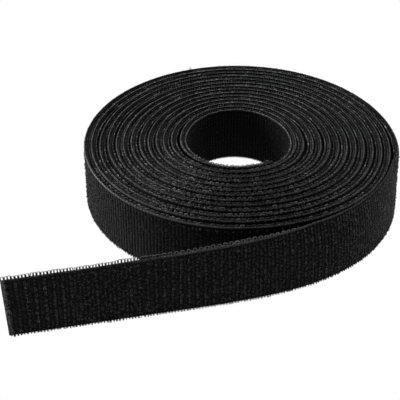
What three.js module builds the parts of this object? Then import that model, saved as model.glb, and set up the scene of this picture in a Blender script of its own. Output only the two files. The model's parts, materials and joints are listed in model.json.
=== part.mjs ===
// Hook and loop tape roll: one long back-to-back tape, wound flat on itself without a core,
// with its outer end drawn out as a straight tail.
// Millimetres, +Z up. The roll lies on its lower selvedge, on z = 0.
import * as THREE from "three";

// The tape: two woven plies bonded back to back, loops outwards and hooks inwards
const TAPE_WIDTH = 20;
const LOOP_PLY_THICKNESS = 0.65;
const BOND_FILM_THICKNESS = 0.2;
const HOOK_PLY_THICKNESS = 0.6;
const SEAT_CLEARANCE = 0.3; // between a layer and the next one
const FILM_SETBACK = 1.2; // from each selvedge to the edge of the film

// The coil, counted in turns inwards from the place where the tail leaves it
const COIL_RADIUS = 51.4; // to the outer face, where the tail leaves
const COIL_TURNS = 12.84;
const TURN_CLEARANCE = 0.6; // between a turn and the next one
const EYE_SHIFT = new THREE.Vector2(-0.9, 1.0); // the turns creep off centre towards the bore
const STEPS_PER_TURN = 24;

// The tail: a lap that still hugs the coil, an easement that fades to straight, and a straight end
const LAP_SLACK = 0.4; // how much wider the lap bends than the coil under it
const LAP_LENGTH = 39.5;
const EASE_LENGTH = 61;
const STRAIGHT_LENGTH = 49.5;
const TAIL_LINKS = 6;
const FACETS_PER_TURN = 48;
const WALK_STEP = 0.25; // the stride that follows the tail's curve

// The free end of the tape inside the bore, and the gap at every place where the tape flexes
const INNER_END_TURN = 1 / 6;
const FLEX_GAP = 0.95;

// The layers, each between two depths below the tape's outer face
const FILM_DEPTH = LOOP_PLY_THICKNESS + SEAT_CLEARANCE;
const HOOK_DEPTH = FILM_DEPTH + BOND_FILM_THICKNESS + SEAT_CLEARANCE;
const TAPE_THICKNESS = HOOK_DEPTH + HOOK_PLY_THICKNESS;
const MIDDLE_DEPTH = TAPE_THICKNESS / 2;
const TURN_PITCH = TAPE_THICKNESS + TURN_CLEARANCE;
const LAYERS = [
  {
    name: "loop_ply",
    depths: [0, LOOP_PLY_THICKNESS],
    setback: 0,
    material: new THREE.MeshStandardMaterial({ color: 0x1b1b1d, roughness: 0.95, metalness: 0 }),
  },
  {
    name: "bond_film",
    depths: [FILM_DEPTH, FILM_DEPTH + BOND_FILM_THICKNESS],
    setback: FILM_SETBACK,
    material: new THREE.MeshStandardMaterial({ color: 0x0b0b0c, roughness: 0.45, metalness: 0 }),
  },
  {
    name: "hook_ply",
    depths: [HOOK_DEPTH, TAPE_THICKNESS],
    setback: 0,
    material: new THREE.MeshStandardMaterial({ color: 0x141416, roughness: 0.8, metalness: 0 }),
  },
];

// A place on the wound tape, so many turns in and so deep below the outer face.
function coilPoint(turn, depth) {
  const radius = COIL_RADIUS - TURN_PITCH * turn - depth;
  const angle = 2 * Math.PI * turn;
  const point = new THREE.Vector2(radius * Math.cos(angle), radius * Math.sin(angle));
  return point.addScaledVector(EYE_SHIFT, turn / COIL_TURNS);
}

// A length of tape as a share of a turn, at the middle of the tape's thickness.
function turnsFor(length, turn) {
  return length / (2 * Math.PI * (COIL_RADIUS - TURN_PITCH * turn - MIDDLE_DEPTH));
}

// How sharply the tail bends at a distance along it: as the lap, then fading evenly to nothing.
function tailBend(along) {
  const left = (LAP_LENGTH + EASE_LENGTH - along) / EASE_LENGTH;
  return THREE.MathUtils.clamp(left, 0, 1) / (COIL_RADIUS + LAP_SLACK);
}

// A walk along the tail's outer face, on from the slope of the coil: where it gets to, and how far it has turned.
function walkTail(along) {
  const point = coilPoint(0, 0);
  const strides = Math.max(1, Math.round(along / WALK_STEP));
  const stride = along / strides;
  let turned = -Math.atan(TURN_PITCH / (2 * Math.PI * COIL_RADIUS));
  for (let i = 0; i < strides; i++) {
    const bend = tailBend((i + 0.5) * stride) * stride;
    const heading = turned + bend / 2;
    point.x -= stride * Math.sin(heading);
    point.y -= stride * Math.cos(heading);
    turned += bend;
  }
  return { point, turned };
}

// A place on the tail, so far along it and so deep below the outer face.
function tailPoint(along, depth) {
  const { point, turned } = walkTail(along);
  return point.add(new THREE.Vector2(-Math.cos(turned), Math.sin(turned)).multiplyScalar(depth));
}

// Evenly spaced stations on a stretch of the tail: more where it bends, and only its ends where it is straight.
function tailStations(from, to) {
  const bend = walkTail(to).turned - walkTail(from).turned;
  const steps = Math.max(1, Math.round((bend / (2 * Math.PI)) * FACETS_PER_TURN));
  return Array.from({ length: steps + 1 }, (_, i) => THREE.MathUtils.lerp(from, to, i / steps));
}

// Stations on a wound stretch: its two ends, and each whole step of the turn between them.
function turnStations(from, to) {
  const first = Math.floor(from * STEPS_PER_TURN) + 1;
  const last = Math.ceil(to * STEPS_PER_TURN) - 1;
  const between = Array.from({ length: last - first + 1 }, (_, i) => (first + i) / STEPS_PER_TURN);
  return [from, ...between, to];
}

// One layer of a stretch of tape: its plan, between its two faces, raised by the width of the layer.
function ribbon(place, at, { depths, setback }) {
  const outer = at.map((a) => place(a, depths[0]));
  const inner = at.map((a) => place(a, depths[1]));
  const plan = new THREE.Shape([...outer, ...inner.reverse()]);
  const raise = { depth: TAPE_WIDTH - 2 * setback, bevelEnabled: false, curveSegments: 1 };
  return new THREE.ExtrudeGeometry(plan, raise).translate(0, 0, setback);
}

// The stretches of the tape, from the bore outwards
const halfGap = FLEX_GAP / 2;
const tailLength = LAP_LENGTH + EASE_LENGTH + STRAIGHT_LENGTH;
const linkLength = tailLength / TAIL_LINKS;
const innerHinge = COIL_TURNS - INNER_END_TURN;
const innerGap = turnsFor(halfGap, innerHinge);
const coilAt = turnStations(turnsFor(halfGap, 0), innerHinge - innerGap);
const stretches = [
  { name: "inner_end", place: coilPoint, at: turnStations(innerHinge + innerGap, COIL_TURNS) },
  { name: "coil", place: coilPoint, at: coilAt },
];
for (let i = 1; i <= TAIL_LINKS; i++) {
  const end = i < TAIL_LINKS ? i * linkLength - halfGap : tailLength;
  const at = tailStations((i - 1) * linkLength + halfGap, end);
  stretches.push({ name: `tail_${i}`, place: tailPoint, at });
}

const tape = new THREE.Group();
for (const { name, place, at } of stretches) {
  for (const layer of LAYERS) {
    const mesh = new THREE.Mesh(ribbon(place, at, layer), layer.material);
    mesh.name = `${layer.name}_${name}`;
    tape.add(mesh);
  }
}

// The origin is under the middle of the whole roll, tail included
const box = new THREE.Box3().setFromObject(tape);
const middle = box.getCenter(new THREE.Vector3());
tape.position.set(-middle.x, -middle.y, -box.min.z);
const roll = new THREE.Group();
roll.add(tape);

// The least gap from any outer face of the tape to the inner face of the turn around it
const outerFace = [];
const innerFace = [];
for (const { name, place, at } of stretches) {
  const inner = at.map((a) => place(a, TAPE_THICKNESS));
  innerFace.push(...inner.slice(1).map((end, i) => new THREE.Line3(onFloor(inner[i]), onFloor(end))));
  if (!name.startsWith("tail")) outerFace.push(...at.map((a) => onFloor(place(a, 0))));
}

function onFloor(point) {
  return new THREE.Vector3(point.x, point.y, 0);
}

const nearest = new THREE.Vector3();
let leastGap = Infinity;
for (const point of outerFace) {
  for (const edge of innerFace) {
    edge.closestPointToPoint(point, true, nearest);
    leastGap = Math.min(leastGap, nearest.distanceTo(point));
  }
}
console.log(`least gap between turns ${leastGap.toFixed(3)} mm`);

// The tape's whole length, and where each flexing place stands
const woundLine = turnStations(0, COIL_TURNS).map((turn) => coilPoint(turn, MIDDLE_DEPTH));
const woundLength = woundLine.slice(1).reduce((sum, p, i) => sum + p.distanceTo(woundLine[i]), 0);
console.log(`tape ${(woundLength + tailLength).toFixed(0)} mm, of which the tail is ${tailLength} mm`);
const hinges = [["inner_end", coilPoint(innerHinge, MIDDLE_DEPTH)]];
for (let i = 1; i <= TAIL_LINKS; i++) {
  hinges.push([`tail_${i}`, tailPoint((i - 1) * linkLength, MIDDLE_DEPTH)]);
}
for (const [name, point] of [...hinges, ["axis", new THREE.Vector2()], ["eye", EYE_SHIFT]]) {
  console.log(`${name} at ${(point.x - middle.x).toFixed(3)}, ${(point.y - middle.y).toFixed(3)}`);
}

export default roll;
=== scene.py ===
# %% [markdown]
# # A roll of black hook and loop tape
# The object is one long tape. Two woven nylon strips are bonded back to back, one with a pile of loops
# and one with rows of hooks, and the tape is wound on itself without a core. Its outer end is drawn out
# as a tail. This lesson models the tape the way it is made. Every strip, edge loop, pile loop and hook is
# first laid out flat, in a plain space of length, depth and height. One function then winds the flat tape
# into the roll.

# %% Load the CAD frame
import json
import math

import bmesh
import bpy
import numpy as np
from mathutils import Matrix, Vector


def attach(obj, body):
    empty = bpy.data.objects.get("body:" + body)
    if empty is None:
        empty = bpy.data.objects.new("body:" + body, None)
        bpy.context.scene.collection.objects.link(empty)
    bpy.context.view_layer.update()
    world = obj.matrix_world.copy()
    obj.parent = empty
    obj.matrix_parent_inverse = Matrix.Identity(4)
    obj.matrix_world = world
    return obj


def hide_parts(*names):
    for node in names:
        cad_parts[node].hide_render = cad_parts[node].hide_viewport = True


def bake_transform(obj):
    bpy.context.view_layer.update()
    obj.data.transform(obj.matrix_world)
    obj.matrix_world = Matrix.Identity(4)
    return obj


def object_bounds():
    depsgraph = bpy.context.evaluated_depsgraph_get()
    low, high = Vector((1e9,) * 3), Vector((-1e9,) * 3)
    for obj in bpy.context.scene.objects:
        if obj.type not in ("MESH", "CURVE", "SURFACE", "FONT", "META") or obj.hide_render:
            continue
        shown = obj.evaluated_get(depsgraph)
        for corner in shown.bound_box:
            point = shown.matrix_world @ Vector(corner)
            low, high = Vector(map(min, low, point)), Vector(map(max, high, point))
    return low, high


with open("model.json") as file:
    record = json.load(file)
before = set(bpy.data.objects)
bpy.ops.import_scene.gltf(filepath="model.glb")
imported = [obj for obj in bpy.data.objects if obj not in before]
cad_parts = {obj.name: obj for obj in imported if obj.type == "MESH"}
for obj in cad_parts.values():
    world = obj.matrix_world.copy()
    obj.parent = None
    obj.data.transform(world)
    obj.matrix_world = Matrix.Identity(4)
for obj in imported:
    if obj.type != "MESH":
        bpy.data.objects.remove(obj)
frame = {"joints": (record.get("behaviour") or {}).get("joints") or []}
cad_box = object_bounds()
joints = {joint["name"]: joint for joint in frame["joints"]}
MM = 0.001

# %% [markdown]
# ## The line that the tape follows
# The wound turns are a spiral, and the tail is a curve whose bend fades evenly to nothing. Both could be
# drawn as a Blender curve. A table of points worked out from the same few sizes as the CAD was chosen,
# because it keeps the look and the solids together. The table runs along the tape's outer face, from its
# inner end to the end of the tail, and counts its length from the place where the tail leaves the coil.

# %% The tape's sizes, as in the CAD
TAPE_WIDTH = cad_box[1].z
TAPE_THICKNESS = 2.05 * MM
COIL_RADIUS = 51.4 * MM
COIL_TURNS = 12.84
TURN_PITCH = 2.65 * MM
EYE_SHIFT = np.array((-0.9, 1.0)) * MM  # how far the turns creep off centre towards the bore
INNER_END_TURN = 1 / 6  # the part of a turn that lifts into the bore
LAP_SLACK = 0.4 * MM  # how much wider the lap bends than the coil under it
LAP_LENGTH = 39.5 * MM  # the part of the tail that still hugs the coil
EASE_LENGTH = 61 * MM  # the part whose bend fades
STRAIGHT_LENGTH = 49.5 * MM
TAIL_LENGTH = LAP_LENGTH + EASE_LENGTH + STRAIGHT_LENGTH
TAIL_LINKS = 6
LINK_LENGTH = TAIL_LENGTH / TAIL_LINKS

peel_place = Vector(joints["tail_peel"]["pos_m"])
coil_axis = peel_place - Vector((COIL_RADIUS - TAPE_THICKNESS / 2, 0, 0))
print("coil axis in mm", [round(value / MM, 2) for value in coil_axis])

# %% The coil's part of the line
TABLE_STEPS = 360  # table points in each turn
FRONT_SAG = 0.9 * MM  # how far the middle turns crowd inwards at the front
BACK_CROWD = 2.4 * MM  # how far the inner turns crowd outwards at the back
BACK_BULGE = 0.95 * MM  # how far all the turns bulge at the back
LEFT_TUCK = 0.2 * MM  # how much tighter the first turns are drawn at the left
FRONT_LIP = 0.6 * MM  # how far the innermost turn leans into the bore at the front
FRONT_PUSH = (2.2 * MM, 0.9 * MM)  # how far the outermost and the innermost turn are pressed in there
PUSHED_AT = 277  # degrees round the coil
PUSH_REACH = (105, 58)  # degrees to either side of it
CROWD_SKEW = 0.7  # brings the crowding at the front towards the outer turns
LIP_POWER = 8  # keeps the lip to the innermost turns
CROWD_POWER = 1.5  # lets the crowding at the back grow towards the bore
TUCK_TURNS = 3  # how fast the tuck fades inwards
FLAP_LONGER = 0.03  # turns that the inner end reaches past its solid

turns = np.arange(round((COIL_TURNS + FLAP_LONGER) * TABLE_STEPS), -1, -1) / TABLE_STEPS
spoke = np.column_stack((np.cos(2 * np.pi * turns), np.sin(2 * np.pi * turns)))
share_in = turns / COIL_TURNS
at_front, at_back, at_left = np.clip((-spoke[:, 1], spoke[:, 1], -spoke[:, 0]), 0, 1) ** 2
crowding = np.sin(np.pi * share_in**CROWD_SKEW) ** 2
sag = FRONT_SAG * crowding * at_front
sag += FRONT_LIP * share_in**LIP_POWER * at_front
sag -= BACK_CROWD * share_in**CROWD_POWER * at_back
sag -= BACK_BULGE * at_back**2
sag += LEFT_TUCK * np.exp(-turns / TUCK_TURNS) * at_left
from_push = (turns * 360 - PUSHED_AT + 180) % 360 - 180
reach = np.where(from_push < 0, *PUSH_REACH)
pushed = np.cos(np.pi / 2 * np.clip(abs(from_push) / reach, 0, 1)) ** 2
sag += pushed * np.interp(share_in, (0, 1), FRONT_PUSH)
coil_radius = COIL_RADIUS - TURN_PITCH * turns - sag
coil_line = spoke * coil_radius[:, None] + EYE_SHIFT * share_in[:, None]
print("coil table", len(coil_line), "points")

# %% The tail's part of the line
WALK_STEP = 0.25 * MM

walked = np.arange(0, TAIL_LENGTH, WALK_STEP) + WALK_STEP / 2
bend_left = np.clip((LAP_LENGTH + EASE_LENGTH - walked) / EASE_LENGTH, 0, 1)
bend = bend_left / (COIL_RADIUS + LAP_SLACK) * WALK_STEP
first_slope = -math.atan(TURN_PITCH / (2 * math.pi * COIL_RADIUS))
turned = first_slope + np.append(0, np.cumsum(bend))
heading = turned[:-1] + bend / 2
strides = -WALK_STEP * np.column_stack((np.sin(heading), np.cos(heading)))
tail_line = coil_line[-1] + np.cumsum(strides, axis=0)
tail_inward = np.column_stack((-np.cos(turned), np.sin(turned)))[1:]
print("tail ends at", np.round((tail_line[-1] + coil_axis.xy) / MM, 2))

# %% The whole line
BEYOND_END = 4 * MM  # spare line past the tail's end, because the cut isn't quite square
end_stride = strides[-1] / WALK_STEP * BEYOND_END
line = np.vstack((coil_line, tail_line, tail_line[-1] + end_stride)) + np.array(coil_axis.xy)
inward = np.vstack((-spoke, tail_inward, tail_inward[-1]))
line_along = np.append(0, np.cumsum(np.linalg.norm(np.diff(line, axis=0), axis=1)))
line_along -= line_along[len(coil_line) - 1]
INNER_END = line_along[0]


def along_at(turn):
    """The length along the tape of a place so many turns in."""
    return float(np.interp(-turn, -turns, line_along[: len(turns)]))


print("tape", round((TAIL_LENGTH - INNER_END) / MM), "mm long")

# %% The small sway of the wound turns
SWAY_STARTS = 30 * MM  # over this length from the inner end
SWAY_STOPS = 60 * MM  # over this length before the tail
SWAY_IN_OUT = ((0.13, 17, 0), (0.13, 29, 1))  # waves, each with its size and length in mm and its start
SWAY_UP = ((0.08, 23, 2), (0.05, 57, 0))
SWAY_LIFT = 0.3 * MM  # how far the turns stand off the floor


def waves(along, kinds):
    """The sum of a few waves along the tape."""
    return sum(size * MM * np.sin(along / (length * MM) + start) for size, length, start in kinds)


def sway(along):
    """How far the wound tape strays from its even winding: in depth, and upwards."""
    wound = np.clip(-along / SWAY_STOPS, 0, 1) * np.clip((along - INNER_END) / SWAY_STARTS, 0, 1)
    return wound * waves(along, SWAY_IN_OUT), wound * (SWAY_LIFT + waves(along, SWAY_UP))


print("sway in mm", [round(np.ptp(values) / MM, 2) for values in sway(line_along)])

# %% The function that winds the flat tape
CUT_REACH = 12 * MM  # the length at the tape's cut end that is drawn out to the cut
CUT_LONGER = 0.5 * MM  # how far the cut lies past the solid's end
CUT_SLANT = 0.8 * MM  # and how much further at the upper edge
LEAN_BACK = 0.15  # the share of the lean by which the lower edge leans the other way
DRAWN_AT = np.array((0, 8, 14, 45, 60, 70, 80, 100, 125, 150)) * MM  # places on the tail
LEANING = np.array((0, 0.2, 2.0, 2.2, 2.4, 1.7, 1.0, 0.3, 0, 0)) * MM  # how far its top leans to the coil
LIFTED = np.array((0, 0.2, 0.8, 0.8, 0.8, 0.8, 0.8, 0.7, 0.1, 0.1)) * MM  # how far its top is drawn up
PINCHED = np.array((0, 0.1, 0.7, 0.7, 0.6, 0.4, 0, 0, 0, 0))  # how much thinner its top is pressed


def wind(flat):
    """Takes points of the flat tape, as length, depth below the outer face and height, to the roll."""
    along, depth, height = flat.T
    deeper, higher = sway(along)
    share_up = height / TAPE_WIDTH
    leaning = np.interp(along, DRAWN_AT, LEANING)
    depth = depth * (1 - np.interp(along, DRAWN_AT, PINCHED) * share_up)
    deeper = deeper + leaning * ((1 + LEAN_BACK) * share_up**3 - LEAN_BACK)
    higher = higher + np.interp(along, DRAWN_AT, LIFTED) * share_up
    near_cut = np.clip((along - TAIL_LENGTH) / CUT_REACH + 1, 0, 1)
    along = along + near_cut * (CUT_LONGER + CUT_SLANT * share_up)
    way_in = np.column_stack([np.interp(along, line_along, inward[:, i]) for i in (0, 1)])
    way_in /= np.linalg.norm(way_in, axis=1)[:, None]
    place = np.column_stack([np.interp(along, line_along, line[:, i]) for i in (0, 1)])
    place += way_in * (depth + deeper)[:, None]
    return np.column_stack((place, height + higher))


def wound_point(along, depth=TAPE_THICKNESS / 2, height=TAPE_WIDTH / 2):
    """One point of the flat tape on the roll."""
    return Vector(wind(np.array([[along, depth, height]]))[0])


print("tail's end in mm", [round(value / MM, 1) for value in wound_point(TAIL_LENGTH)])

# %% [markdown]
# ## The camera
# The photograph looks down at the roll by about 35 degrees, from a few roll widths away. The camera could
# be placed by eye at the end, but here it was fitted to the rims of the coil and of the bore and to the
# edge of the tail. So it is set before any piece is made.

# %% Camera
CAMERA_PITCH = math.radians(34.7)
CAMERA_DISTANCE = 376 * MM
LOOKED_AT = coil_axis + Vector((-12.4, -19.0, 0.75)) * MM
SENSOR_WIDTH, FOCAL_LENGTH = 36, 108  # in millimetres, as Blender counts them
NEAREST_SEEN = 10 * MM

lens = bpy.data.cameras.new("camera")
lens.sensor_width = SENSOR_WIDTH
lens.lens = FOCAL_LENGTH
lens.clip_start = NEAREST_SEEN
camera = bpy.data.objects.new("camera", lens)
sight = Vector((0, math.cos(CAMERA_PITCH), -math.sin(CAMERA_PITCH)))
camera.location = LOOKED_AT - sight * CAMERA_DISTANCE
camera.rotation_euler = (math.pi / 2 - CAMERA_PITCH, 0, 0)
bpy.context.scene.collection.objects.link(camera)
bpy.context.scene.camera = camera
print("camera at", [round(value / MM, 1) for value in camera.location])

# %% [markdown]
# ## Shader maths
# Woven cloth needs a pattern that follows the tape, so its materials are built from sums and waves.
# Adding every node by hand would hide the formula, so one small class wraps a socket, and Python's own
# operators then add the Math nodes.

# %% A socket that Python can calculate with
MIX_SOCKETS = (0, 6, 7)  # the share and the two colours of a Mix node
MIX_RESULT = 2


class Shade:
    def __init__(self, tree, socket=None):
        self.tree = tree
        self.socket = socket

    def node(self, kind, settings=None, inputs=None, output=0):
        """Adds any node: its settings first, then the values or links of its sockets."""
        made = self.tree.nodes.new(kind)
        for name, value in (settings or {}).items():
            setattr(made, name, value)
        for name, value in (inputs or {}).items():
            if isinstance(value, Shade):
                self.tree.links.new(value.socket, made.inputs[name])
            else:
                made.inputs[name].default_value = value
        return Shade(self.tree, made.outputs[output])

    def maths(self, operation, *values):
        return self.node("ShaderNodeMath", {"operation": operation}, dict(enumerate(values)))

    def __add__(self, other):
        return self.maths("ADD", self, other)

    def __sub__(self, other):
        return self.maths("SUBTRACT", self, other)

    def __rsub__(self, other):
        return self.maths("SUBTRACT", other, self)

    def __mul__(self, other):
        return self.maths("MULTIPLY", self, other)

    __radd__ = __add__
    __rmul__ = __mul__

    def __abs__(self):
        return self.maths("ABSOLUTE", self)

    def wave(self, length):
        """A wave from -1 to 1 that repeats after this length."""
        return self.maths("SINE", self * (2 * math.pi / length))

    def ramp(self, low, high):
        """0 below low, 1 above high and smooth between them."""
        settings = {"interpolation_type": "SMOOTHSTEP"}
        return self.node("ShaderNodeMapRange", settings, {"Value": self, "From Min": low, "From Max": high})

    def between(self, *share_and_colours):
        inputs = dict(zip(MIX_SOCKETS, share_and_colours))
        return self.node("ShaderNodeMix", {"data_type": "RGBA"}, inputs, output=MIX_RESULT)

    def mix(self, dark, light):
        """The colour between two colours by this share."""
        return self.between(self, (*dark, 1), (*light, 1))

    def tint(self, share, colour):
        """This colour, changed to another one by a share."""
        return self.between(share, self, (*colour, 1))

    def attribute(self, name):
        """A value that the mesh holds at each of its points."""
        return self.node("ShaderNodeAttribute", {"attribute_name": name}, output="Fac")

    def noise(self, size):
        """Cloudy noise in the piece's own place, with clouds of about this size."""
        place = self.node("ShaderNodeTexCoord", output="Object")
        return self.node("ShaderNodeTexNoise", inputs={"Vector": place, "Scale": 1 / size})


# %% A material with its shader ready
BLUER = 1.04  # how much more blue than red and green there is in dyed black nylon


def new_material(name, constants):
    """A material, an empty shade and the shader, with the values that are the same all over the surface."""
    material = bpy.data.materials.new(name)
    material.use_nodes = True
    shader = material.node_tree.nodes["Principled BSDF"]
    for socket, value in constants.items():
        shader.inputs[socket].default_value = value
    return material, Shade(material.node_tree), shader


def join(shade, shader, socket):
    shade.tree.links.new(shade.socket, shader.inputs[socket])


def grey(value):
    """A near black with the faint blue of dyed nylon."""
    return (value, value, value * BLUER)


# %% [markdown]
# ## Finishes
# All of it is black nylon, but it doesn't look alike. The ground weave is matt and a little dusty, and
# its selvedges are drawn tight, with a thin line of painted highlight along them. The loops of the pile
# are fine bright threads, and the hooks are stiff and glossy. One material could serve for all, but it
# would look like rubber. So each has its own, and each thread has its own shade through an attribute,
# which also carries painted shade and highlight.

# %% Ground weave of both plies
RIB_PITCH = 1.2 * MM  # from one cross rib of the weave to the next
END_PITCH = 0.8 * MM  # from one lengthwise thread to the next but one
SELVEDGE_LINE = 0.35 * MM  # how far below the tape's edge its line of painted highlight starts
FUSED_END = 0.9 * MM  # width of the melted band at the tape's cut end
RIB_RELIEF = 0.4 * MM  # the depth of the bump
RIB_WANDER = 0.15 * MM  # how far the ribs stray from even spacing
DUST_SIZE = 1.5 * MM  # of its clouds, as of those below
FLUFF_SIZE, FLUFF_RAMP = 0.45 * MM, (0.5, 0.8)  # where in its clouds it starts and is full
GLINT_SIZE, GLINT_RAMP = 0.6 * MM, (0.38, 0.62)
MELT_SIZE, MELT_RAMP = 0.5 * MM, (0.35, 0.65)
RIB_RAMP = (-0.1, 0.9)  # where on the wave of a rib its ridge of painted highlight starts and is full
BASE_SHADE, WEAVE_SHADE, DUST_SHADE = 0.1, 0.25, 0.8  # what the weave and the dust add to the shade
RIB_BUMP, WEAVE_BUMP = 0.4, 0.35
# how much paler the rib crests are painted as highlight, and how much paler the melted end is
RIDGE_PALER, FUSED_PALER = 1.6, 2.5
ROUGH, DUST_SMOOTHER = 0.8, 0.2
# the coat that adds gloss where the selvedges' sheen is painted
SHEEN_COAT = 0.25
LOOP_LINE = (0.5 * MM, 0.65 * MM)  # from the tape's middle, where the line of painted highlight on a selvedge starts
HOOK_LINE = (0.4 * MM, 0.55 * MM)
HOOK_NARROWER = 0.6 * MM  # how far the hook ply's upper selvedge lies below the tape's edge


def ground_weave(name, line_side, lower, dark, light, ridge, edge, sheen_grey):
    """Cross ribs with lengthwise threads over them and crests painted paler as highlight, and selvedges with
    a line of painted highlight and painted sheen.
    """
    constants = {"Specular IOR Level": 0.03, "Coat Roughness": 0.35}
    material, shade, shader = new_material(name, constants)
    across = shade.attribute("across")
    painted_sheen = shade.attribute("painted_sheen")
    dust = shade.noise(DUST_SIZE)
    along = shade.attribute("along")
    rib = (along + dust * RIB_WANDER).wave(RIB_PITCH)
    weave = rib * across.wave(END_PITCH)
    ribbed = shade.attribute("ribbed")
    past_edge = abs(across - TAPE_WIDTH / 2) - TAPE_WIDTH / 2 + lower
    edging = past_edge.ramp(-SELVEDGE_LINE, -0.3 * SELVEDGE_LINE)
    edging = edging * abs(shade.attribute("deep") - TAPE_THICKNESS / 2).ramp(*line_side)
    # painted highlight: the selvedges' line, broken into glints and scaled by edged
    bright = edging * shade.attribute("edged") * shade.noise(GLINT_SIZE).ramp(*GLINT_RAMP)
    fused = along.ramp(TAIL_LENGTH - 1.2 * FUSED_END, TAIL_LENGTH - FUSED_END)
    fused = fused * shade.noise(MELT_SIZE).ramp(*MELT_RAMP)
    cloth = (weave * WEAVE_SHADE + dust * DUST_SHADE + BASE_SHADE).mix(grey(dark), grey(light))
    fluff = shade.noise(FLUFF_SIZE).ramp(*FLUFF_RAMP) * shade.attribute("fluffed")
    cloth = cloth.tint(fluff * (1 - ribbed), grey(ridge))
    # painted highlight: the rib crests paler where ribbed is high
    cloth = cloth.tint(rib.ramp(*RIB_RAMP) * ribbed * (dust + 0.3), grey(RIDGE_PALER * ridge))
    # painted highlight line and painted sheen on the selvedges
    cloth = cloth.tint(bright, grey(edge)).tint(edging * painted_sheen, grey(sheen_grey))
    cloth = cloth.tint(fused, grey(FUSED_PALER * sheen_grey))
    join(cloth, shader, "Base Color")
    join(ROUGH - dust * DUST_SMOOTHER, shader, "Roughness")
    join(edging * painted_sheen * SHEEN_COAT, shader, "Coat Weight")
    height = (rib * RIB_BUMP + weave * WEAVE_BUMP) * ribbed
    relief = {"Strength": 1.0, "Distance": RIB_RELIEF, "Height": height}
    join(shade.node("ShaderNodeBump", inputs=relief), shader, "Normal")
    return material


# edge is the grey of the selvedges' painted highlight line, and the last grey that of their painted sheen
loop_ground = ground_weave(
    "loop_ground", LOOP_LINE, lower=0,
    dark=0.001, light=0.005, ridge=0.022, edge=0.075, sheen_grey=0.05,
)
hook_ground = ground_weave(
    "hook_ground", HOOK_LINE, lower=HOOK_NARROWER,
    dark=0.002, light=0.006, ridge=0.012, edge=0.07, sheen_grey=0.03,
)
print("weaves", loop_ground.name, hook_ground.name)


# %% Threads of the edge loops, the pile and the hooks
def thread(name, dark, light, roughness, gloss):
    """Twisted thread: every loop has its own shade of black, from a tint that also carries painted shade and
    highlight.
    """
    material, shade, shader = new_material(name, {"Roughness": roughness, "Specular IOR Level": gloss})
    join(shade.attribute("tint").mix(grey(dark), grey(light)), shader, "Base Color")
    return material


edge_thread = thread("edge_thread", dark=0.006, light=0.38, roughness=0.4, gloss=0.15)
pile_thread = thread("pile_thread", dark=0.006, light=0.13, roughness=0.5, gloss=0.15)
hook_thread = thread("hook_thread", dark=0.006, light=0.06, roughness=0.4, gloss=0.2)
print("threads", edge_thread.name, pile_thread.name, hook_thread.name)

# %% Bond film
SMEAR_SIZE = 4 * MM

film, film_shade, film_shader = new_material("bond_film", {"Specular IOR Level": 0.3})
smear = film_shade.noise(SMEAR_SIZE)
join(smear.mix(grey(0.004), grey(0.012)), film_shader, "Base Color")
join(smear * 0.3 + 0.4, film_shader, "Roughness")
print("film", film.name)

# %% [markdown]
# ## Strips
# A woven ply is a flat strip with round selvedges that are a little thicker than the middle. It could be
# a plane with a Solidify modifier, but that has square edges. A box with bevelled long edges, cut into
# short lengths, has the form, and the winding then bends it. The same function makes the bond film.
# Winding turns the flat space into its mirror image, so the faces are turned round first.


# %% Reading and writing a mesh in one go
def get_points(mesh):
    points = np.zeros(len(mesh.vertices) * 3, np.float32)
    mesh.vertices.foreach_get("co", points)
    return points.reshape(-1, 3).astype(float)


def set_points(mesh, points):
    mesh.vertices.foreach_set("co", points.astype(np.float32).ravel())
    mesh.update()


def set_values(mesh, name, values):
    attribute = mesh.attributes.new(name, "FLOAT", "POINT")
    attribute.data.foreach_set("value", values.astype(np.float32))


def finished(bm, name):
    """The bmesh as a new mesh, with smooth faces."""
    mesh = bpy.data.meshes.new(name)
    bm.to_mesh(mesh)
    bm.free()
    mesh.shade_smooth()
    return mesh


def new_piece(name, mesh, material):
    mesh.materials.clear()
    mesh.materials.append(material)
    piece = bpy.data.objects.new(name, mesh)
    bpy.context.scene.collection.objects.link(piece)
    return piece


def add_map(mesh, places):
    """Gives the mesh the map, named OFBake, that its finish is baked onto."""
    layer = mesh.uv_layers.new(name="OFBake")
    layer.data.foreach_set("uv", places.ravel().astype(np.float32))


# %% A map of a strip's faces
MAP_LENGTH = 0.95  # the share of the map's width that its rows take up
MAP_GAP = 0.01  # the share that is left free beside them, and beside each row


def round_section(flat, part):
    """How far round the strip's section each point lies, from 0 to 1, and the length of that way."""
    turn = np.arctan2(part[:, 2] - 0.5, part[:, 1] - 0.5)
    ring = np.flatnonzero(part[:, 0] < 1e-6)
    ring = ring[np.argsort(turn[ring])]
    sides = np.linalg.norm(np.diff(flat[np.append(ring, ring[0])][:, 1:], axis=0), axis=1)
    girth = np.append(0, np.cumsum(sides)) / sides.sum()
    nearest = np.searchsorted((turn[ring][1:] + turn[ring][:-1]) / 2, turn)
    return girth[nearest], sides.sum()


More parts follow.
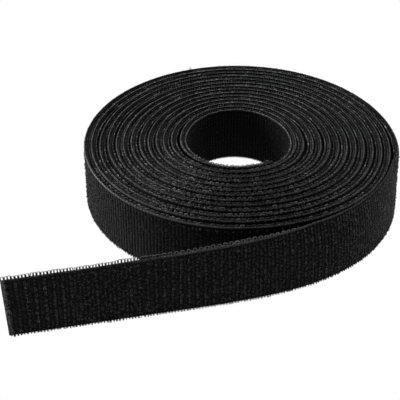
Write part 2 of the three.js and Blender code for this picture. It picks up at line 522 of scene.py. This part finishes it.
def map_strip(mesh, flat, step):
    """Lays the strip's faces out in rows, with the length across and the way round its section upwards."""
    corners = np.zeros(len(mesh.loops), np.int32)
    mesh.loops.foreach_get("vertex_index", corners)
    totals = np.zeros(len(mesh.polygons), np.int32)
    mesh.polygons.foreach_get("loop_total", totals)
    starts = np.cumsum(totals) - totals
    spread = np.ptp(flat, axis=0)
    part = (flat - flat.min(axis=0)) / spread
    around, section = round_section(flat, part)
    around = around[corners]
    far = np.repeat(np.maximum.reduceat(around, starts), totals) - around > 0.5
    around = around + far
    steps = round(spread[0] / step)
    rows = max(1, round(math.sqrt(spread[0] / section)))
    in_row = math.ceil(steps / rows)
    place = part[corners, 0] * steps
    first = np.minimum.reduceat(place, starts)
    flat_end = np.repeat(np.maximum.reduceat(place, starts) - first < 0.5, totals)
    its_row = np.repeat(np.floor((first + 0.5) / in_row), totals)
    filled = 1 - 2 * MAP_GAP
    u = (place - its_row * in_row) / in_row * MAP_LENGTH
    v = (its_row + MAP_GAP + filled * around) / rows
    beside = MAP_LENGTH + MAP_GAP
    u = np.where(flat_end, beside + (1 - beside) * part[corners, 1], u)
    v = np.where(flat_end, (part[corners, 0].round() + filled * part[corners, 2]) / 2, v)
    add_map(mesh, np.column_stack((u, v)))


# %% How the tape's face changes along its length
SHEEN_TURNS = (1.75, 1.62, 1.5, 1.3, 0.78, 0.68, 0.5, 0.35, 0.2)
SHEEN_TAIL = np.array((30, 70, 100, 115)) * MM
SHEEN_AT = np.append([along_at(turn) for turn in SHEEN_TURNS], SHEEN_TAIL)
SHEEN = (0, 0.5, 0.3, 0, 0.2, 1, 1, 0.4, 0, 0, 0.5, 0.6, 0.05)  # how strong the painted sheen on the selvedges is: strongest on the turns' left side, towards the left lamp, and on the tail
RIBBED_AT = np.array((-225, -213, -207, -195, -150, -120, -20, 60, 110)) * MM
RIBBED = (0.05, 0.2, 0.8, 1, 0.8, 0.4, 0.2, 0.2, 0.12)  # how deep the ribs' bump is, and how much their crests are painted paler as highlight
FLUFFED_AT = np.array((-245, -215)) * MM
FLUFFED = (0.15, 1)  # how much fluff lies on the ground of the weave
EDGED_AT = np.array((0, 10, 40, 62, 106, 116)) * MM
EDGED = (1, 0.2, 0.35, 1.4, 1.4, 0.3)  # how bright a selvedge's line of painted highlight is; low on the lap, as painted shade
FACE_VALUES = {
    "painted_sheen": (SHEEN_AT, SHEEN),
    "ribbed": (RIBBED_AT, RIBBED),
    "fluffed": (FLUFFED_AT, FLUFFED),
    "edged": (EDGED_AT, EDGED),
}
MATTED_TURNS = (12.5, 12.4, 1.12, 1.05)
MATTED_AT = [along_at(turn) for turn in MATTED_TURNS]
MATTED = np.array((0, 1, 1, 0)) * MM  # how far the pile between the turns reaches into the hooks around it
print("matted from", round(MATTED_AT[0] / MM), "to", round(MATTED_AT[-1] / MM), "mm")


# %% A flat strip, wound
STRIP_STEP = 1.5 * MM  # about the length of a strip's faces
SELVEDGE_CUTS = np.array((0.77, 1.1)) * MM  # from a strip's long edges, where it turns from thick to slim
LEAN_CUTS = (0.25, 0.4, 0.55, 0.7, 0.85)  # shares of the width where the tail's face bends as it leans
EDGE_SHARE = 0.42  # of a strip's thickness, which its long edges are rounded by


def lengthwise(bm, length):
    return [edge for edge in bm.edges if abs(edge.verts[1].co.x - edge.verts[0].co.x) > length / 2]


def strip(name, ends, depths, heights, material, slimmer=0.0, matted=False):
    """A strip of the tape, slimmer between its selvedges, and with a mat of pile where it is wound."""
    lowest, highest = np.array((ends, depths, heights)).T
    size, middle = highest - lowest, (lowest + highest) / 2
    bm = bmesh.new()
    bmesh.ops.create_cube(bm, size=1)
    bmesh.ops.scale(bm, vec=size, verts=bm.verts)
    bmesh.ops.translate(bm, vec=middle, verts=bm.verts)
    rims = lengthwise(bm, size[0])
    bmesh.ops.bevel(
        bm, geom=rims, offset=size[1] * EDGE_SHARE, offset_type="OFFSET",
        segments=2, profile=0.5, affect="EDGES", material=-1,
    )
    across = np.array(LEAN_CUTS) * TAPE_WIDTH if ends[1] > 0 else ()
    for cut in (*(heights[0] + SELVEDGE_CUTS), *across, *(heights[1] - SELVEDGE_CUTS)):
        everything = [*bm.verts, *bm.edges, *bm.faces]
        bmesh.ops.bisect_plane(bm, geom=everything, plane_co=(0, 0, cut), plane_no=(0, 0, 1))
    steps = max(3, round(size[0] / STRIP_STEP))
    bmesh.ops.subdivide_edges(bm, edges=lengthwise(bm, size[0]), cuts=steps - 1, use_grid_fill=True)
    bmesh.ops.reverse_faces(bm, faces=bm.faces)
    for face in bm.faces:
        if abs(face.normal.x) > 0.5:
            for edge in face.edges:
                edge.smooth = False
    mesh = finished(bm, name)
    flat = get_points(mesh)
    map_strip(mesh, flat, size[0] / steps)
    from_edge = np.minimum(flat[:, 2] - heights[0], heights[1] - flat[:, 2])
    between = from_edge > SELVEDGE_CUTS.mean()
    outside = flat[:, 1] < middle[1]
    flat[:, 1] -= np.sign(flat[:, 1] - middle[1]) * slimmer * between
    if matted:
        flat[:, 1] -= np.interp(flat[:, 0], MATTED_AT, MATTED) * (between & outside)
    set_values(mesh, "along", flat[:, 0])
    set_values(mesh, "across", flat[:, 2])
    set_values(mesh, "deep", flat[:, 1])
    for value_name, (places, values) in FACE_VALUES.items():
        set_values(mesh, value_name, np.interp(flat[:, 0], places, values))
    set_points(mesh, wind(flat))
    return new_piece(name, mesh, material)


# %% [markdown]
# ## Threads
# The edges of the tape are rows of tiny thread loops, its outer face is a pile of curled loops, and its
# inner face has rows of hooks. Hair strands could stand in for them, but they aren't meshes. There are
# thousands of each, so each kind is modelled once with a few faces, by sweeping a small ring of points.
# An Array modifier makes the copies, and each copy is then turned, sized and placed on the flat tape by
# itself, before all of them are wound with it.

# %% Drawing a thread
THREAD_SIDES = 3
BEND_STEPS = 3  # in the arch of an edge loop, and in the bend of a hook
CURL_STEPS = 5


def start_thread(thickness, x):
    """A small ring of points at the thread's start, ready to be drawn on."""
    bm = bmesh.new()
    bmesh.ops.create_circle(bm, segments=THREAD_SIDES, radius=thickness / 2)
    bmesh.ops.translate(bm, vec=(x, 0, 0), verts=bm.verts)
    return bm, [*bm.verts, *bm.edges]


def draw_on(bm, ring, way=(0, 0, 0), sweep=0, centre=(0, 0, 0), steps=1):
    """Draws the thread on, straight or round a centre in degrees, and returns the ring at its end."""
    made = bmesh.ops.spin(
        bm, geom=ring, cent=centre, axis=(0, 1, 0), dvec=way, angle=math.radians(sweep), steps=steps
    )
    return made["geom_last"]


def end_thread(bm, name):
    """Closes both ends of the thread and turns its faces for the winding."""
    bmesh.ops.holes_fill(bm, edges=[edge for edge in bm.edges if edge.is_boundary])
    bmesh.ops.recalc_face_normals(bm, faces=bm.faces)
    bmesh.ops.reverse_faces(bm, faces=bm.faces)
    return finished(bm, name)


# %% The kinds of thread
def edge_loop(name, width, leg, thickness, crown):
    """A weft thread that stands out of the selvedge on two legs, with its arch flattened by a share."""
    bm, ring = start_thread(thickness, -width / 2)
    ring = draw_on(bm, ring, way=(0, 0, leg))
    ring = draw_on(bm, ring, sweep=180, centre=(0, 0, leg), steps=BEND_STEPS)
    draw_on(bm, ring, way=(0, 0, -leg))
    arch = [vert for vert in bm.verts if vert.co.z > leg]
    bmesh.ops.scale(bm, vec=(1, 1, crown), space=Matrix.Translation((0, 0, -leg)), verts=arch)
    return end_thread(bm, name)


def curl(name, radius, sweep, thickness):
    """A loop of the pile, curled in the face of the tape."""
    bm, ring = start_thread(thickness, -radius)
    draw_on(bm, ring, sweep=sweep, steps=CURL_STEPS)
    return end_thread(bm, name)


def hook(name, stem, radius, sweep, thickness):
    """A stiff thread that stands out of the tape's inner face and bends over."""
    bm, ring = start_thread(thickness, 0)
    ring = draw_on(bm, ring, way=(0, 0, stem))
    draw_on(bm, ring, sweep=sweep, centre=(radius, 0, stem), steps=BEND_STEPS)
    inwards = Matrix.Rotation(-math.pi / 2, 3, "X")
    bmesh.ops.rotate(bm, cent=(0, 0, 0), matrix=inwards, verts=bm.verts)
    return end_thread(bm, name)


# %% Copies of a thread, laid on the flat tape and wound
rng = np.random.default_rng(12)
SQUARE = 0.1 + 0.8 * np.array(((0, 0), (1, 0), (1, 1), (0, 1)))  # with a margin around it
DULLNESS = 4  # the higher it is, the fewer threads are bright; these few give random tone and painted glints


def map_threads(mesh, unit, count):
    """A map with a square for every thread, and in it a smaller one for each of its faces."""
    totals = [face.loop_total for face in unit.polygons]
    face = np.repeat(np.arange(len(totals)), totals)
    corner = np.concatenate([np.arange(total) for total in totals])
    parts, side = math.ceil(math.sqrt(len(totals))), math.ceil(math.sqrt(count))
    in_thread = (np.column_stack((face % parts, face // parts)) + SQUARE[corner]) / parts
    copy = np.arange(count)
    threads = np.column_stack((copy % side, copy // side))
    add_map(mesh, (threads[:, None, :] + in_thread[None]) / side)


def turns_of(yaw, lean):
    """For each copy, the turn in the face of the tape after the lean out of it."""
    one, none = np.ones_like(yaw), np.zeros_like(yaw)
    about_depth = np.array([
        [np.cos(yaw), none, np.sin(yaw)],
        [none, one, none],
        [-np.sin(yaw), none, np.cos(yaw)],
    ])
    about_length = np.array([
        [one, none, none],
        [none, np.cos(lean), -np.sin(lean)],
        [none, np.sin(lean), np.cos(lean)],
    ])
    return np.einsum("ijn,jkn->nik", about_depth, about_length)


def shades(count, paler=0.0):
    """A shade for each copy, from paler to 1: most are dark, and a few are bright as random tone and painted
    glints.
    """
    return paler + (1 - paler) * rng.random(count) ** DULLNESS


def lay(name, unit, material, places, yaw, lean, size, tints, painted_shade=1.0):
    """Copies of a unit at places on the flat tape, as one wound piece, darkened within the unit by painted
    shade.
    """
    piece = new_piece(name, unit.copy(), material)
    copies = piece.modifiers.new("copies", "ARRAY")
    copies.use_relative_offset = False
    copies.count = len(places)
    graph = bpy.context.evaluated_depsgraph_get()
    mesh = bpy.data.meshes.new_from_object(piece.evaluated_get(graph))
    piece.modifiers.clear()
    piece.data = mesh
    base = get_points(unit)
    turned_units = np.einsum("nij,nvj->nvi", turns_of(yaw, lean), base * size[:, None, :])
    flat = turned_units + places[:, None, :]
    set_points(mesh, wind(flat.reshape(-1, 3)))
    set_values(mesh, "tint", np.ravel(tints[:, None] * (painted_shade * np.ones(len(base)))))
    map_threads(mesh, unit, len(places))
    return piece


# %% [markdown]
# ## The stretches of the tape
# The tape bends at seven places. It could be cut at each of them, but then it would gape there when it
# moves. So it is made in stretches: the coil, and one across each hinge. A stretch of the tail runs from
# the middle of one link to the middle of the next.

# %% The list of stretches
FLEX_REACH = 8 * MM  # how far to either side of its hinge settle finds a point of the stretch
INNER_REACH = 6 * MM
INNER_SEAM = 10 * MM  # from the inner end's hinge to the end of its stretch
inner_hinge = along_at(COIL_TURNS - INNER_END_TURN)
inner_seam = inner_hinge + INNER_SEAM
stretches = [
    {"name": "inner_end", "ends": (INNER_END, inner_seam), "hinge": inner_hinge, "joint": "inner_end_lift"},
    {"name": "coil", "ends": (inner_seam, -LINK_LENGTH / 2)},
]
for link in range(1, TAIL_LINKS + 1):
    hinge = (link - 1) * LINK_LENGTH
    ends = (hinge - LINK_LENGTH / 2, hinge + LINK_LENGTH / 2 if link < TAIL_LINKS else TAIL_LENGTH)
    joint = "tail_peel" if link == 1 else f"tail_flex_{link}"
    stretches.append({"name": f"tail_{link}", "ends": ends, "hinge": hinge, "joint": joint})
print("stretches", [stretch["name"] for stretch in stretches])


def settle(piece, stretch):
    """Attaches a piece to the roll's body, or, for a stretch with a joint, bakes its place into its mesh."""
    if "joint" not in stretch:
        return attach(piece, "roll")
    reach = -INNER_REACH if stretch["name"] == "inner_end" else FLEX_REACH
    start = wound_point(stretch["hinge"] - reach)
    end = wound_point(stretch["hinge"] + reach)
    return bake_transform(piece)


# %% [markdown]
# ## Plies and film
# The loop ply lies outside, the hook ply inside, and the film between them bonds their backs. One thick
# strip would be simpler, but the two edges and the dark seam between them show on top of the roll, so
# each layer is a strip of its own. The film lies back from the edges, and the hook ply is a little
# narrower than the loop ply.

# %% Make the strips of each stretch
LOOP_DEPTHS = (0.05 * MM, 0.7 * MM)
FILM_DEPTHS = (0.65 * MM, 1.35 * MM)
HOOK_DEPTHS = (1.25 * MM, 1.95 * MM)
LOOP_HEIGHTS = (0.65 * MM, TAPE_WIDTH + 0.1 * MM)
FILM_HEIGHTS = (1.6 * MM, TAPE_WIDTH - 1.0 * MM)
HOOK_HEIGHTS = (0.75 * MM, TAPE_WIDTH - HOOK_NARROWER)
SLIMMER = 0.1 * MM  # how far the face of a ply lies below that of its selvedges
LOOP_FORM = (LOOP_DEPTHS, LOOP_HEIGHTS, loop_ground, SLIMMER)
HOOK_FORM = (HOOK_DEPTHS, HOOK_HEIGHTS, hook_ground, SLIMMER)
FILM_FORM = (FILM_DEPTHS, FILM_HEIGHTS, film)

for stretch in stretches:
    name, ends = stretch["name"], stretch["ends"]
    loop_ply = strip(f"loop_ply_{name}_woven", ends, *LOOP_FORM, matted=True)
    hook_ply = strip(f"hook_ply_{name}_woven", ends, *HOOK_FORM)
    bond = strip(f"bond_film_{name}_melted", ends, *FILM_FORM)
    for piece, slot in ((loop_ply, "loop_fabric"), (hook_ply, "hook_fabric"), (bond, "bond_film")):
        settle(piece, stretch)
    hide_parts(f"loop_ply_{name}")
    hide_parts(f"hook_ply_{name}")
    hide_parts(f"bond_film_{name}")
    stretch["plies"] = (loop_ply, hook_ply)
    stretch["dress"] = ([], [])
    print(name, round((ends[1] - ends[0]) / MM, 1), "mm,", len(loop_ply.data.polygons), "faces a ply")

# %% [markdown]
# ## Edge loops
# Weft thread turns round at each edge of the weave and leaves a row of small arches there. On the hook
# ply they stand well clear and show light through them. On the loop ply they are low beads at the top
# edge and teeth at the bottom one. Bump could only hint at them, and they show against the pale floor, so
# they are threads, one kind of arch for each row, with small random changes.

# %% Rows of edge loops
PICOT_PITCH = 0.9 * MM
PICOT = edge_loop("picot", width=0.7 * MM, leg=0.95 * MM, thickness=0.35 * MM, crown=0.55)
CREST = edge_loop("crest", width=0.36 * MM, leg=0.62 * MM, thickness=0.3 * MM, crown=0.5)
TOOTH = edge_loop("tooth", width=0.2 * MM, leg=0.6 * MM, thickness=0.36 * MM, crown=1.0)
BEAD = edge_loop("bead", width=0.36 * MM, leg=0.15 * MM, thickness=0.26 * MM, crown=0.8)
UPRIGHT, HANGING = 0.0, math.pi
STRAY_PLACE = 0.03 * MM  # how far the edge loops stray from even rows
STRAY_WIDTH, STRAY_HEIGHT, STRAY_TURN = 0.12, 0.06, 0.08  # and from even sizes and turns


def row(ends, pitch):
    """The lengths of a row of evenly spaced threads that fall on a stretch."""
    return np.arange(math.ceil(ends[0] / pitch), math.ceil(ends[1] / pitch)) * pitch


def edge_row(along, depth, height, yaw, taller=1.0, slant=0.0, wider=1.0):
    """Places, turns, leans and sizes of the threads along one edge."""
    count = len(along)
    places = np.column_stack((along, np.broadcast_to(depth, count), np.full(count, height)))
    places += rng.normal(0, STRAY_PLACE, (count, 3))
    wide = wider * (1 + rng.normal(0, STRAY_WIDTH, count))
    tall = taller + rng.normal(0, STRAY_HEIGHT, count)
    size = np.column_stack((wide, np.ones(count), tall))
    turn, lean = yaw + rng.normal(0, STRAY_TURN, count), slant + rng.normal(0, STRAY_TURN, count)
    return places, turn, lean, size


def edge_piece(name, unit, *edges, paler=0.0, leg_shade_power=4):
    """Rows of edge loops as one piece, pale at their arches and darkened down their legs by painted shade.
    """
    places, yaw, lean, size = (np.concatenate(parts) for parts in zip(*edges))
    heights = get_points(unit)[:, 2]
    painted_shade = np.clip(heights / heights.max(), 0, 1) ** leg_shade_power
    return lay(name, unit, edge_thread, places, yaw, lean, size, shades(len(places), paler), painted_shade)


print("edge loops", [len(unit.polygons) for unit in (PICOT, CREST, TOOTH, BEAD)], "faces each")

# %% The edge loops of the loop ply
EDGE_SINK = 0.2 * MM  # how deep the edge loops start inside their ply
BACK_BEADS = (0.1 * MM, 0.75 * MM)  # a second row of beads: how far behind the ply, and below its edge
BACK_TALLER, BACK_SLANT = 1.3, -0.3
BEADED_AT = np.array((12, 22, 104, 112)) * MM
BEAD_PALE = (0.12, 0.35, 0.35, 0.12)  # how pale the beads are


def loop_edges(name, picots):
    """The teeth and the beads of a loop ply."""
    depth = sum(LOOP_DEPTHS) / 2
    back_depth, back_height = LOOP_DEPTHS[1] + BACK_BEADS[0], LOOP_HEIGHTS[1] - BACK_BEADS[1]
    teeth = edge_piece(
        f"loop_edge_{name}", TOOTH,
        edge_row(picots, depth, LOOP_HEIGHTS[0] + EDGE_SINK, HANGING),
    )
    beads = edge_piece(
        f"loop_beads_{name}", BEAD,
        edge_row(picots, depth, LOOP_HEIGHTS[1] - EDGE_SINK, UPRIGHT),
        edge_row(picots, back_depth, back_height, UPRIGHT, BACK_TALLER, BACK_SLANT),
        paler=np.tile(np.interp(picots, BEADED_AT, BEAD_PALE), 2),
    )
    return teeth, beads


# %% The edge loops of the hook ply
TALL_AT = np.array((-2, 8, 50, 70, 100, 115)) * MM
TALL = (0.8, 0.3, 0.4, 0.75, 0.75, 1.0)  # how tall the lap leaves the arches of the tail
HUNG_TALL, HUNG_SLANT = 0.75, -0.35  # of the arches at the lower edge
TAIL_SLANT, COIL_SLANT = -0.35, -0.5  # of those at the upper edge
TAIL_LEGS, COIL_LEGS = 1.5, 4  # how fast painted shade darkens an arch down its legs
ARCHED_AT = np.array((-20, 0, 12, 52, 62, 104, 112)) * MM
ARCH_PALE = (0.13, 0.13, 0.05, 0.05, 0.65, 0.65, 0.65)  # how pale every other arch is; low on the lap as painted shade
GAP_PALE = (0, 0, 0.05, 0.05, 0.4, 0.4, 0.5)  # and how pale the arches between are, also low on the lap as painted shade
ARCH_WIDE = (2.0, 2.0, 1, 1, 1.25, 1.25, 1)  # how wide every other arch is
GAP_LOW = (0.7, 0.7, 1, 1, 0.5, 0.5, 1)  # and how low the arches between are
INNER_PALE = 0.3  # the least paleness on the innermost turn, painted highlight along the bore's rim
INNER_TURNS = 1.1
inner_turn = along_at(COIL_TURNS - INNER_TURNS)


def hook_edges(name, picots):
    """The arches of a hook ply."""
    depth = sum(HOOK_DEPTHS) / 2
    on_tail = name.startswith("tail")
    kind, slant, legs = (PICOT, TAIL_SLANT, TAIL_LEGS) if on_tail else (CREST, COIL_SLANT, COIL_LEGS)
    pale_arch, pale_gap, wide_arch, low_gap = (
        np.interp(picots, ARCHED_AT, values) for values in (ARCH_PALE, GAP_PALE, ARCH_WIDE, GAP_LOW)
    )
    odd = np.round(picots / PICOT_PITCH) % 2 > 0
    pale = np.where(odd, pale_arch, pale_gap)
    pale = np.where(picots < inner_turn, np.maximum(pale, INNER_PALE), pale)
    wide = np.where(odd, wide_arch, 1)
    tall = (np.interp(picots, TALL_AT, TALL) if on_tail else 1.0) * np.where(odd, 1, low_gap)
    return edge_piece(
        f"hook_edge_{name}", kind,
        edge_row(picots, depth, HOOK_HEIGHTS[0] + EDGE_SINK, HANGING, HUNG_TALL, HUNG_SLANT),
        edge_row(picots, depth, HOOK_HEIGHTS[1] - EDGE_SINK, UPRIGHT, tall, slant, wide),
        paler=np.tile(pale, 2), leg_shade_power=legs,
    )


# %% Make the edge loops of each stretch
for stretch in stretches:
    picots = row(stretch["ends"], PICOT_PITCH)
    teeth, beads = loop_edges(stretch["name"], picots)
    arches = hook_edges(stretch["name"], picots)
    for piece in (teeth, beads):
        settle(piece, stretch)
        stretch["dress"][0].append(piece)
    settle(arches, stretch)
    stretch["dress"][1].append(arches)
    faces = [len(piece.data.polygons) for piece in (teeth, beads, arches)]
    print(stretch["name"], faces, "faces of edge loops")

# %% [markdown]
# ## Pile
# The loops stand in columns across the tape, and brushing has curled them over each other. A fuzzy
# material would do for a distant view, but the columns show in the photograph, so each loop is a thread.
# Only the loops that can be seen are made: on the outermost turn, on the tail, and on the inner end,
# which can be lifted.

# %% The pile
CURL = curl("curl", radius=0.38 * MM, sweep=300, thickness=0.22 * MM)
PILE_COLUMN = 1.2 * MM
PILE_ROW = 1.13 * MM
PILE_MARGINS = (1.1 * MM, 0.8 * MM)  # from the tape's lower and upper edge to the outermost loops
LAPPED = (-340 * MM, -280 * MM)  # where the lap leans on the coil, above LEANS_ABOVE, and leaves no loops
LEANS_ABOVE = 17 * MM
STRAY_DROP = 1.2 * MM  # from the upper edge to the stray loops
PILE_PROUD = 0.03 * MM  # from the face of the ground weave to the middle of the threads on it
PILE_DEPTH = LOOP_DEPTHS[0] + SLIMMER - PILE_PROUD
END_BARE = 1.1 * MM  # bare ground at the tape's cut end
NEAT_PLACE = np.array((0.08, 0, 0.1)) * MM  # how far loops stray in neat columns
LOOSE_PLACE = np.array((0.25, 0.05, 0.3)) * MM  # and how much further in disorder
NEAT_TURN, LOOSE_TURN = 0.35, 2.5
NEAT_LEAN, LOOSE_LEAN = 0.3, 0.6
FLATTER = 0.2  # how much flatter neat loops are
GROWN = (0.75, 1.15)  # the smallest and the largest loop
BRUSHED_AT = np.array((-190, -160, -60, 0, 85, 115, 128, 135)) * MM
BRUSHED = (0.05, 0.3, 0.6, 0.4, 0.2, 0.35, 0.35, 0.1)  # from neat columns of loops to loops in disorder
# How bright the loops of the even columns are, and of the odd ones: near black at the front, behind the
# tail, as painted shade
PALE_PLACES = (-250, -228, -215, -206, -165, -130, -90, 20, 44, 52, 64, 70, 80, 90, 112, 117, 129, 134)
PALE_AT = np.array(PALE_PLACES) * MM
PALE = (0.02, 0.2, 0.2, 0.04, 0.04, 0.6, 0.8, 0.55, 0.55, 0.8, 0.8, 0.65, 0.6, 1, 1, 0.8, 0.8, 1)
PALE_ODD = (0.02, 0.2, 0.2, 0.04, 0.04, 0.6, 0.8, 0.55, 0.5, 0.15, 0.15, 0.4, 0.45, 0.2, 0.2, 0.7, 0.7, 0.15)
STRAY_AT = np.array((-280, -265, -225, -215)) * MM
STRAY = (0, 1, 1, 0)  # where single loops stand out below the upper selvedge, at full brightness as painted highlight
STRAY_DIM = 0.4  # how bright every other one of them is
LEAST_AT = np.array((0, 80)) * MM
LEAST = (0.2, 0.35)  # the least share of that brightness
PILE_TURNS = 1.04  # the outer turns whose pile shows
pile_start = along_at(PILE_TURNS)


def thread_grid(ends, pitch, rows):
    """The lengths and heights of threads in columns on a stretch, short of the tape's cut end."""
    columns = row((ends[0], min(ends[1], TAIL_LENGTH - END_BARE)), pitch)
    along, height = np.meshgrid(columns, rows, indexing="ij")
    return along.ravel(), height.ravel()


def pile(name, ends):
    """The loops of a stretch, brushed as they are there."""
    top_row = TAPE_WIDTH - PILE_MARGINS[1]
    rows = np.arange(PILE_MARGINS[0], top_row + PILE_ROW / 2, PILE_ROW)
    along, height = thread_grid(ends, PILE_COLUMN, rows)
    clear = (along < LAPPED[0]) | (along > LAPPED[1]) | (height < LEANS_ABOVE)
    along, height = along[clear], height[clear]
    count = len(along)
    loose = np.interp(along, BRUSHED_AT, BRUSHED)
    column = np.round(along / PILE_COLUMN)
    odd = column % 2
    stray = odd * (height > top_row - PILE_ROW / 2) * np.interp(along, STRAY_AT, STRAY)
    stray *= np.where(column % 4 == 1, 1, STRAY_DIM)
    facing = np.where(np.round(height / PILE_ROW) % 2, 0.5, -0.5) * math.pi
    height = np.where(stray > 0, TAPE_WIDTH - STRAY_DROP, height + (odd - 0.5) * PILE_ROW / 2)
    places = np.column_stack((along, np.full(count, PILE_DEPTH), height))
    places += rng.normal(0, 1, (count, 3)) * (NEAT_PLACE + LOOSE_PLACE * loose[:, None])
    yaw = facing + rng.normal(0, 1, count) * (NEAT_TURN + LOOSE_TURN * loose)
    lean = rng.normal(0, 1, count) * (NEAT_LEAN + LOOSE_LEAN * loose)
    grown = rng.uniform(*GROWN, count)
    size = np.column_stack((grown, grown, grown * (1 - FLATTER + FLATTER * loose)))
    # painted shade: the loops' brightness set along the tape by PALE and PALE_ODD
    bright = np.where(odd, np.interp(along, PALE_AT, PALE_ODD), np.interp(along, PALE_AT, PALE))
    bright *= shades(count, np.interp(along, LEAST_AT, LEAST))
    # the stray loops' full brightness is painted highlight
    return lay(name, CURL, pile_thread, places, yaw, lean, size, np.maximum(bright, stray))


# %% Make the pile of each stretch
for stretch in stretches:
    name, ends = stretch["name"], stretch["ends"]
    if name == "coil":
        ends = (pile_start, ends[1])
    loops = pile(f"loop_pile_{name}", ends)
    settle(loops, stretch)
    stretch["dress"][0].append(loops)
    print(name, len(loops.data.polygons), "faces of pile")

# %% [markdown]
# ## Hooks
# The hooks are cut from stiff loops of single filament, in rows that run along the tape. They show as a
# grid of dots in the bore and on the back of the tail. Between the turns they can't be seen, so only
# those of the bore's wall, the inner end and the tail are made, from one bent stem.

# %% The hooks
HOOK = hook("hook", stem=0.3 * MM, radius=0.16 * MM, sweep=150, thickness=0.2 * MM)
HOOK_COLUMN = 1.2 * MM
HOOK_ROW = 0.9 * MM
HOOK_MARGIN = 1.6 * MM
HOOK_ROOT = 0.05 * MM  # how deep the stems start inside the ply
HOOK_DEPTH = HOOK_DEPTHS[1] - SLIMMER - HOOK_ROOT
HOOK_STRAY = 0.05 * MM
HOOK_TURN, HOOK_LEAN = 0.3, 0.08
HOOK_GROWN = (0.85, 1.1)
HOOK_TURN_OUT = 11.5  # the outermost turn whose hooks are made
hook_end = along_at(HOOK_TURN_OUT)


def hooks(name, ends):
    """The hooks of a stretch, which bend over to either side."""
    rows = np.arange(HOOK_MARGIN, TAPE_WIDTH - HOOK_MARGIN, HOOK_ROW)
    along, height = thread_grid(ends, HOOK_COLUMN, rows)
    count = len(along)
    places = np.column_stack((along, np.full(count, HOOK_DEPTH), height))
    places += rng.normal(0, HOOK_STRAY, (count, 3))
    yaw = np.pi * rng.integers(0, 2, count) + rng.normal(0, HOOK_TURN, count)
    size = rng.uniform(*HOOK_GROWN, count)[:, None] * np.ones(3)
    lean = rng.normal(0, HOOK_LEAN, count)
    return lay(name, HOOK, hook_thread, places, yaw, lean, size, shades(count))


# %% Make the hooks of each stretch
for stretch in stretches:
    name, ends = stretch["name"], stretch["ends"]
    if name == "coil":
        ends = (ends[0], hook_end)
    if name == "tail_1":
        ends = (0, ends[1])
    hook_rows = hooks(f"hook_rows_{name}", ends)
    settle(hook_rows, stretch)
    stretch["dress"][1].append(hook_rows)
    print(name, len(hook_rows.data.polygons), "faces of hooks")

# %% [markdown]
# ## Cloth
# Each ply is a sheet of cloth that was woven to the tape's width, so its flat size is that width and the
# length of its stretch.

for stretch in stretches:
    flat_size = (TAPE_WIDTH, stretch["ends"][1] - stretch["ends"][0])
print("sheets", 2 * len(stretches))

# %% [markdown]
# ## Floor and light
# The photograph was taken on a bright white ground that shows no shadow, as on a light table. A white
# floor under lamps would show one, so the floor shines by itself. Soft lamps stand to the left, behind,
# to the right and above, the left one brightest, and the side towards the camera is left dark.

# %% Floor
bpy.context.scene.view_settings.view_transform = "Standard"
FLOOR_SIZE = 60.0
FLOOR_DROP = 0.05 * MM  # keeps it clear of the solids' lowest faces

bm = bmesh.new()
bmesh.ops.create_grid(bm, x_segments=1, y_segments=1, size=FLOOR_SIZE / 2)
floor = new_piece("floor", finished(bm, "floor"), bpy.data.materials.new("light_table"))
floor.location.z = -FLOOR_DROP
floor_material = floor.data.materials[0]
floor_material.use_nodes = True
floor_shader = floor_material.node_tree.nodes["Principled BSDF"]
floor_shader.inputs["Base Color"].default_value = (0.0, 0.0, 0.0, 1)
floor_shader.inputs["Specular IOR Level"].default_value = 0
floor_shader.inputs["Emission Color"].default_value = (1, 1, 1, 1)
floor_shader.inputs["Emission Strength"].default_value = 1.0
print("floor", FLOOR_SIZE, "m")

# %% Lamps
ROOM_LIGHT = 0.06

world = bpy.data.worlds.new("studio")
world.use_nodes = True
world.node_tree.nodes["Background"].inputs["Color"].default_value = (1, 1, 1, 1)
world.node_tree.nodes["Background"].inputs["Strength"].default_value = ROOM_LIGHT
bpy.context.scene.world = world


def lamp(name, place, size, power):
    """A square soft lamp that faces the middle of the coil."""
    light = bpy.data.lights.new(name, "AREA")
    light.size = size
    light.energy = power
    holder = bpy.data.objects.new(name, light)
    holder.location = coil_axis + Vector(place)
    holder.rotation_euler = Vector(place).to_track_quat("Z", "Y").to_euler()
    bpy.context.scene.collection.objects.link(holder)


lamp("lamp_left", (-0.8, 0.3, 0.3), size=0.5, power=16)
lamp("lamp_behind", (0.0, 0.7, 0.6), size=0.8, power=2.9)
lamp("lamp_right", (0.8, 0.45, 0.3), size=0.5, power=7.5)
lamp("lamp_above", (0.0, -0.1, 0.9), size=0.5, power=1.5)
print("lamps", len(bpy.data.lights))
